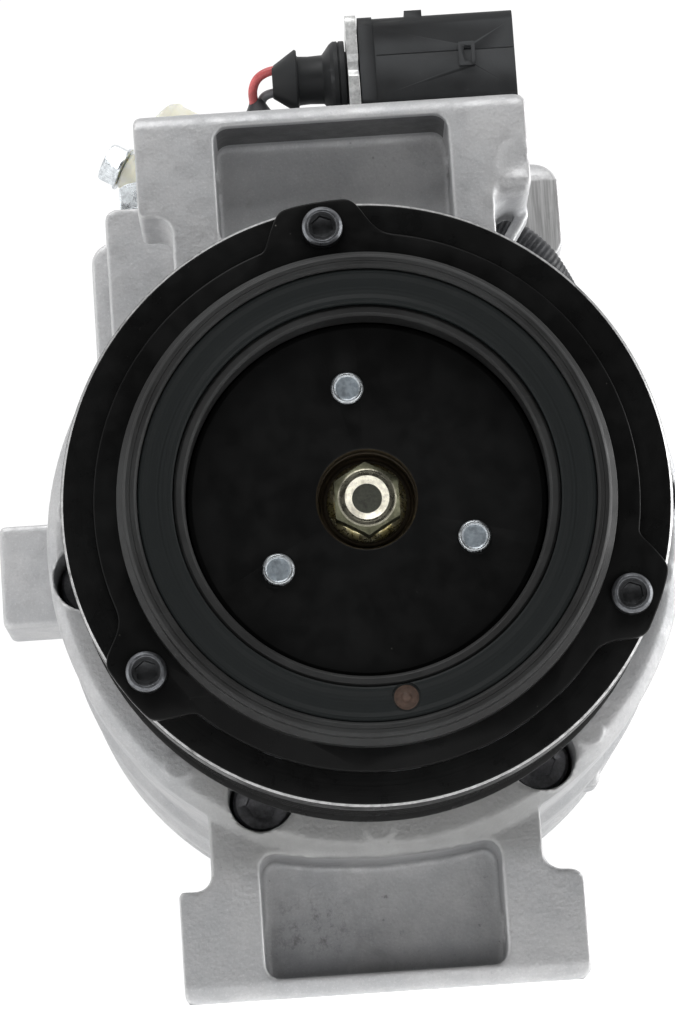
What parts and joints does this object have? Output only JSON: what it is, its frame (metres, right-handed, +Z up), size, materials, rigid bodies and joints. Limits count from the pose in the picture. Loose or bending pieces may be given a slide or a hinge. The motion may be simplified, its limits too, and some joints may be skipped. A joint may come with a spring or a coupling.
{
  "type": "automotive air conditioning compressor",
  "caption": "Belt-driven swash-plate air conditioning compressor with damped drive plate, cast aluminium body, mounting ears and a wired control valve.",
  "frame": {"origin": "bottom centre of the bounding box, on the flat undersides of the lower mounting ears", "axes": "+Y along the shaft from the pulley to the rear head, +Z up through the upper mounting ears, +X to the right seen from the pulley"},
  "size_m": [0.1606, 0.218, 0.2137],
  "materials": {
    "cast_aluminium": "satin",
    "black_steel": "semi-gloss",
    "plate_black": "gloss",
    "damper_rubber": "matte",
    "zinc_steel": "satin",
    "yellow_zinc": "satin",
    "dark_steel": "satin",
    "bearing_steel": "gloss",
    "machined_steel": "satin",
    "seal_rubber": "matte",
    "piston_alloy": "satin",
    "black_plastic": "satin",
    "cover_plastic": "satin",
    "galvanised": "satin",
    "red_insulation": "satin",
    "grey_insulation": "satin",
    "ribbed_sleeve": "matte"
  },
  "bodies": {
    "housing": {"front_housing": "cast_aluminium", "cylinder_block": "cast_aluminium", "valve_plate": "machined_steel", "rear_head": "cast_aluminium", "shaft_seal": "seal_rubber", "bearing_inner_ring": "bearing_steel", "bearing_snap_ring": "dark_steel", "control_valve": "black_plastic", "transport_cover": "cover_plastic", "transport_bolt": "zinc_steel", "boss_bolt": "zinc_steel", "connector_body": "black_plastic", "connector_plug": "black_plastic", "connector_bracket": "galvanised", "bracket_screw": "zinc_steel", "lead_red": "red_insulation", "lead_grey": "grey_insulation", "lead_sleeve": "ribbed_sleeve", "piston_1": "piston_alloy", "through_bolt_1": "dark_steel", "through_bolt_2": "dark_steel", "through_bolt_3": "dark_steel", "through_bolt_4": "dark_steel", "through_bolt_5": "dark_steel", "through_bolt_6": "dark_steel"},
    "pulley_group": {"pulley": "black_steel", "bearing_outer_ring": "bearing_steel", "bearing_balls": "bearing_steel", "drive_plate": "plate_black", "drive_screw_1": "dark_steel", "drive_screw_2": "dark_steel", "drive_screw_3": "dark_steel", "damper_rubber": "damper_rubber"},
    "shaft_group": {"damper_sleeve": "black_steel", "hub_plate": "plate_black", "hub_rivet_1": "zinc_steel", "hub_rivet_2": "zinc_steel", "hub_rivet_3": "zinc_steel", "hub": "machined_steel", "centre_bolt": "yellow_zinc", "shaft": "machined_steel", "lug_plate": "machined_steel"},
    "swash": {"swash_plate": "machined_steel"},
    "shoes_1": {"shoe_front_1": "bearing_steel", "shoe_rear_1": "bearing_steel"},
    "shoes_2": {"shoe_front_2": "bearing_steel", "shoe_rear_2": "bearing_steel"},
    "piston_2_body": {"piston_2": "piston_alloy"},
    "shoes_3": {"shoe_front_3": "bearing_steel", "shoe_rear_3": "bearing_steel"},
    "piston_3_body": {"piston_3": "piston_alloy"},
    "shoes_4": {"shoe_front_4": "bearing_steel", "shoe_rear_4": "bearing_steel"},
    "piston_4_body": {"piston_4": "piston_alloy"},
    "shoes_5": {"shoe_front_5": "bearing_steel", "shoe_rear_5": "bearing_steel"},
    "piston_5_body": {"piston_5": "piston_alloy"},
    "shoes_6": {"shoe_front_6": "bearing_steel", "shoe_rear_6": "bearing_steel"},
    "piston_6_body": {"piston_6": "piston_alloy"}
  },
  "joints": [
    {"name": "pulley_spin", "type": "hinge", "parent": "housing", "child": "pulley_group", "pos_m": [0.00505, -0.099, 0.0946], "axis": [0, 1, 0], "continuous": true},
    {"name": "shaft_spin", "type": "hinge", "parent": "housing", "child": "shaft_group", "pos_m": [0.00505, -0.099, 0.0946], "axis": [0, 1, 0], "continuous": true},
    {"name": "swash_tilt", "type": "hinge", "parent": "housing", "child": "swash", "pos_m": [0.00505, -0.002, 0.1316], "axis": [-1, 0, 0], "range_deg": [0, 20]},
    {"name": "shoes_1_swivel", "type": "hinge", "parent": "housing", "child": "shoes_1", "pos_m": [0.00505, -0.002, 0.1316], "axis": [-1, 0, 0], "range_deg": [0, 20.5]},
    {"name": "piston_2_slide", "type": "slide", "parent": "housing", "child": "piston_2_body", "axis": [0, -1, 0], "range_m": [0, 0.00683]},
    {"name": "shoes_2_swivel", "type": "hinge", "parent": "piston_2_body", "child": "shoes_2", "pos_m": [-0.02699, -0.002, 0.1131], "axis": [-1, 0, 0], "range_deg": [0, 20.5]},
    {"name": "piston_3_slide", "type": "slide", "parent": "housing", "child": "piston_3_body", "axis": [0, -1, 0], "range_m": [0, 0.0203]},
    {"name": "shoes_3_swivel", "type": "hinge", "parent": "piston_3_body", "child": "shoes_3", "pos_m": [-0.02699, -0.002, 0.0761], "axis": [-1, 0, 0], "range_deg": [0, 20.5]},
    {"name": "piston_4_slide", "type": "slide", "parent": "housing", "child": "piston_4_body", "axis": [0, -1, 0], "range_m": [0, 0.02703]},
    {"name": "shoes_4_swivel", "type": "hinge", "parent": "piston_4_body", "child": "shoes_4", "pos_m": [0.00505, -0.002, 0.0576], "axis": [-1, 0, 0], "range_deg": [0, 20.5]},
    {"name": "piston_5_slide", "type": "slide", "parent": "housing", "child": "piston_5_body", "axis": [0, -1, 0], "range_m": [0, 0.0203]},
    {"name": "shoes_5_swivel", "type": "hinge", "parent": "piston_5_body", "child": "shoes_5", "pos_m": [0.03709, -0.002, 0.0761], "axis": [-1, 0, 0], "range_deg": [0, 20.5]},
    {"name": "piston_6_slide", "type": "slide", "parent": "housing", "child": "piston_6_body", "axis": [0, -1, 0], "range_m": [0, 0.00683]},
    {"name": "shoes_6_swivel", "type": "hinge", "parent": "piston_6_body", "child": "shoes_6", "pos_m": [0.03709, -0.002, 0.1131], "axis": [-1, 0, 0], "range_deg": [0, 20.5]}
  ],
  "couplings": [
    {"joint": "shaft_spin", "follows": "pulley_spin", "ratio": 1},
    {"joint": "shoes_1_swivel", "follows": "swash_tilt", "ratio": 1},
    {"joint": "piston_2_slide", "follows": "swash_tilt", "m_per_rad": 0.01929},
    {"joint": "shoes_2_swivel", "follows": "swash_tilt", "ratio": 1},
    {"joint": "piston_3_slide", "follows": "swash_tilt", "m_per_rad": 0.05787},
    {"joint": "shoes_3_swivel", "follows": "swash_tilt", "ratio": 1},
    {"joint": "piston_4_slide", "follows": "swash_tilt", "m_per_rad": 0.07716},
    {"joint": "shoes_4_swivel", "follows": "swash_tilt", "ratio": 1},
    {"joint": "piston_5_slide", "follows": "swash_tilt", "m_per_rad": 0.05787},
    {"joint": "shoes_5_swivel", "follows": "swash_tilt", "ratio": 1},
    {"joint": "piston_6_slide", "follows": "swash_tilt", "m_per_rad": 0.01929},
    {"joint": "shoes_6_swivel", "follows": "swash_tilt", "ratio": 1}
  ]
}
